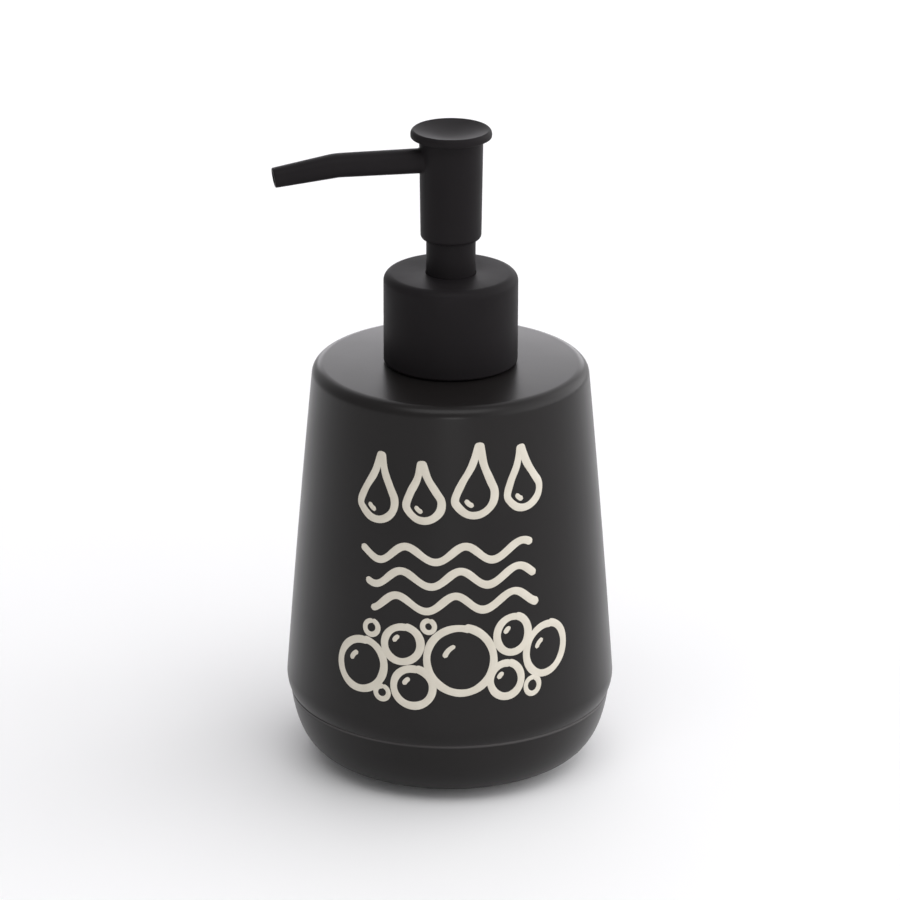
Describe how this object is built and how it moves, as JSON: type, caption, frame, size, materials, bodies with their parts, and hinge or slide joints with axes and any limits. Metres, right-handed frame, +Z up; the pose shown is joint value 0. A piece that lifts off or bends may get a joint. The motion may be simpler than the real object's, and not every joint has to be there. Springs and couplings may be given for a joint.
{
  "type": "soap pump dispenser",
  "caption": "Round black ceramic soap dispenser with a screw-on lotion pump, dished thumb head and long tapered spout.",
  "frame": {"origin": "on the vessel's axis, in the plane of the face that it stands on", "axes": "+Z up along the pump's axis; -Y is the decorated front; the spout points to -X, turned 11 degrees towards the front"},
  "size_m": [0.0868, 0.0842, 0.1675],
  "materials": {
    "ceramic": "satin black glaze",
    "black_plastic": "black polypropylene, satin moulded surface",
    "natural_plastic": "natural polypropylene",
    "natural_seal": "soft polyethylene",
    "tube_plastic": "translucent polyethylene tube",
    "spring_steel": "stainless spring wire",
    "cream_enamel": "cream enamel brushed on the glaze",
    "ball_glass": "ground glass ball"
  },
  "bodies": {
    "vessel": {"vessel": "ceramic", "neck_insert": "black_plastic"},
    "pump_core": {"neck_gasket": "natural_seal", "pump_housing": "natural_plastic", "guide_neck": "black_plastic", "stem_wiper": "natural_seal", "return_spring": "spring_steel", "ball_cage": "natural_plastic", "dip_tube": "tube_plastic"},
    "collar": {"threaded_closure": "black_plastic", "collar_shell": "black_plastic"},
    "inlet_valve": {"inlet_ball": "ball_glass"},
    "plunger": {"pump_stem": "natural_plastic", "piston": "natural_seal", "piston_rod": "natural_plastic"},
    "outlet_valve": {"outlet_ball": "ball_glass"},
    "head": {"pump_head": "black_plastic", "flow_elbow": "black_plastic"}
  },
  "joints": [
    {"name": "pump_lift", "type": "slide", "parent": "vessel", "child": "pump_core", "axis": [0, 0, 1], "range_m": [0, 0.00635]},
    {"name": "collar_turn", "type": "hinge", "parent": "pump_core", "child": "collar", "pos_m": [0, 0, 0.118], "axis": [0, 0, 1], "range_deg": [0, 540]},
    {"name": "head_press", "type": "slide", "parent": "pump_core", "child": "plunger", "axis": [0, 0, -1], "range_m": [0, 0.0085], "stiffness_N_per_m": 1080, "springref_m": -0.005, "deforming": ["return_spring"]},
    {"name": "head_turn", "type": "hinge", "parent": "plunger", "child": "head", "pos_m": [0, 0, 0.15], "axis": [0, 0, 1], "continuous": true},
    {"name": "inlet_ball_lift", "type": "slide", "parent": "pump_core", "child": "inlet_valve", "axis": [0, 0, 1], "range_m": [0, 0.0015]},
    {"name": "outlet_ball_lift", "type": "slide", "parent": "plunger", "child": "outlet_valve", "axis": [0, 0, 1], "range_m": [0, 0.0015]}
  ],
  "couplings": [
    {"joint": "pump_lift", "follows": "collar_turn", "m_per_rad": 0.00067322}
  ]
}
